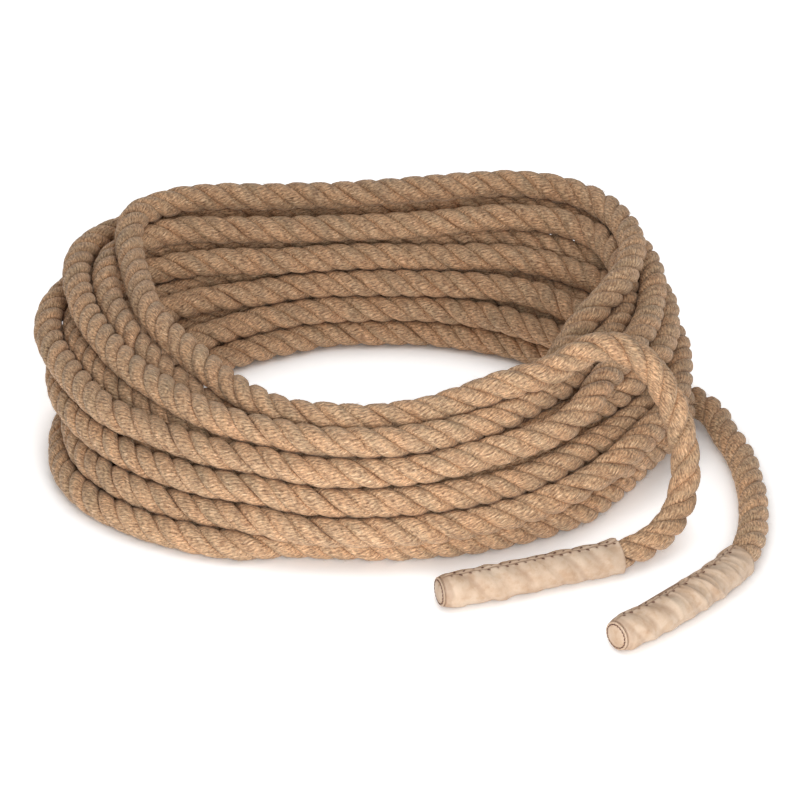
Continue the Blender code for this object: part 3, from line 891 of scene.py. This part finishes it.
def thread_material():
    """Dark waxed thread with its twist."""
    nodes = Nodes("waxed_thread")
    twist = nodes.noise(nodes.place(), 2200.0, 2.0)
    tone = nodes.ramp(twist, (0.38, (0.050, 0.018, 0.012)), (0.62, (0.170, 0.070, 0.040)))
    nodes.bump(twist, 0.0002, 0.8)
    return nodes.surface(tone, Roughness=0.5)


def twine_material():
    """Pale twine, wound in close turns."""
    nodes = Nodes("whipping_twine")
    turns = nodes.add("ShaderNodeTexWave", wave_type="BANDS", bands_direction="DIAGONAL")
    turns.inputs["Scale"].default_value = 320.0
    turns.inputs["Distortion"].default_value = 2.0
    nodes.link(nodes.place(), turns.inputs["Vector"])
    tone = nodes.ramp(turns.outputs["Fac"], (0.2, (0.34, 0.26, 0.16)), (0.8, (0.66, 0.56, 0.40)))
    nodes.bump(turns.outputs["Fac"], 0.0006, 0.9)
    return nodes.surface(tone, Roughness=0.8)


def floor_material():
    """A pale floor that glows a little, less so close to what stands on it: a painted contact shadow."""
    nodes = Nodes("floor")
    clear = nodes.add("ShaderNodeAmbientOcclusion", samples=8)
    clear.inputs["Distance"].default_value = FLOOR_SHADE_REACH
    unshaded = nodes.maths("POWER", clear.outputs["AO"], FLOOR_SHADE_DEPTH)
    glow = nodes.maths("MULTIPLY", unshaded, FLOOR_GLOW)
    nodes.link(glow, nodes.shader.inputs["Emission Strength"])
    nodes.settings(Base_Color=(0.93, 0.93, 0.93, 1.0), Roughness=1.0, Specular_IOR_Level=0.0,
                   Emission_Color=(1.0, 1.0, 1.0, 1.0))
    return nodes.material


# ------------------------------------------------------------------ stage, light and camera
CAMERA_ELEVATION = math.radians(28.0)
CAMERA_DISTANCE = 108.0 * ROPE_D
FRAME_WIDTH_PER_D = 0.03625    # a rope's thickness at the coil's middle, as a share of the frame
AIM = (1.17, 1.03)             # the frame's middle, right of and above the coil's, in diameters
SENSOR_WIDTH = 36.0
FLOOR_REACH = 12.0
FLOOR_DROP = 0.0002
FLOOR_GLOW = 0.62
FLOOR_SHADE_REACH = 0.035      # the floor is shaded within this distance of the part
FLOOR_SHADE_DEPTH = 1.6        # a higher power makes that shade darker
WORLD_GLOW = 0.42
LIGHTS = (                     # name, place, size across and power
    ("key", (0.10, -1.15, 0.46), 0.6, 9.5),
    ("top", (0.1, -0.3, 2.0), 1.2, 4.0),
    ("rear", (-0.3, 1.5, 0.9), 0.9, 3.5),
)


def make_camera():
    """A long lens in front of the coil, looking down on it."""
    data = bpy.data.cameras.new("camera")
    camera = bpy.data.objects.new("camera", data)
    bpy.context.scene.collection.objects.link(camera)
    sine, cosine = math.sin(CAMERA_ELEVATION), math.cos(CAMERA_ELEVATION)
    middle = Vector(COIL_CENTRE)
    camera.location = middle - Vector((0, cosine, -sine)) * CAMERA_DISTANCE
    up = Vector((0, sine, cosine))
    target = middle + (Vector((1, 0, 0)) * AIM[0] + up * AIM[1]) * ROPE_D
    camera.rotation_euler = (target - camera.location).to_track_quat("-Z", "Y").to_euler()
    data.sensor_width = SENSOR_WIDTH
    data.lens = SENSOR_WIDTH * FRAME_WIDTH_PER_D * CAMERA_DISTANCE / ROPE_D
    data.clip_end = 100.0
    bpy.context.scene.camera = camera


def make_floor():
    """A wide level sheet just under the part."""
    mesh = bpy.data.meshes.new("floor")
    corners = [(x * FLOOR_REACH, y * FLOOR_REACH, 0) for x, y in ((-1, -1), (1, -1), (1, 1), (-1, 1))]
    mesh.from_pydata(corners, [], [(0, 1, 2, 3)])
    floor = bpy.data.objects.new("floor", mesh)
    bpy.context.scene.collection.objects.link(floor)
    floor.location.z = -FLOOR_DROP
    mesh.materials.append(floor_material())


def add_light(name, place, size, power):
    """A round soft light that points at the part and stays out of the picture."""
    data = bpy.data.lights.new(name, "AREA")
    data.shape = "DISK"
    data.size = size
    data.energy = power
    light = bpy.data.objects.new(name, data)
    bpy.context.scene.collection.objects.link(light)
    light.visible_camera = False
    light.location = place
    light.rotation_euler = (-Vector(place)).to_track_quat("-Z", "Y").to_euler()


def make_light():
    """An even white surrounding, three soft lights, and plain colours."""
    world = bpy.data.worlds.new("studio")
    world.use_nodes = True
    background = world.node_tree.nodes["Background"]
    background.inputs["Color"].default_value = (1.0, 1.0, 1.0, 1.0)
    background.inputs["Strength"].default_value = WORLD_GLOW
    bpy.context.scene.world = world
    for light in LIGHTS:
        add_light(*light)
    bpy.context.scene.view_settings.view_transform = "Standard"
    bpy.context.scene.view_settings.look = "None"


def make_rope(route, axes, travel):
    """The strands and the loose fibres."""
    strands = make_strands(route, axes, travel, rope_material())
    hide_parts("rope_coil", "rope_tail_front", "rope_tail_rear")
    material = fibre_material()
    fibres = [make_fibres(route, axes, material, "loose_fibres_" + letter, np.random.default_rng(5 + index))
              for index, letter in enumerate("ab")]
    return strands, fibres


def make_caps(route, axes, travel):
    """Both leather caps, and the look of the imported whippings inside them."""
    leather = leather_material()
    thread = thread_material()
    twine = twine_material()
    caps = {}
    for end in ("rear", "front"):
        line = cap_line(route, axes, travel, end)
        caps[end] = [make_sleeve(line, leather, end), make_disc(line, leather, end),
                     make_seam_thread(line, thread, end), make_rim_thread(line, thread, end)]
        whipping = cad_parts["whipping_" + end]
        whipping.data.materials.clear()
        whipping.data.materials.append(twine)
    return caps


def main():
    """The rope, its caps, and the stage."""
    make_camera()
    route = rope_route()
    axes = frames(route)
    travel = distances(route)
    strands, fibres = make_rope(route, axes, travel)
    caps = make_caps(route, axes, travel)
    make_floor()
    make_light()


main()
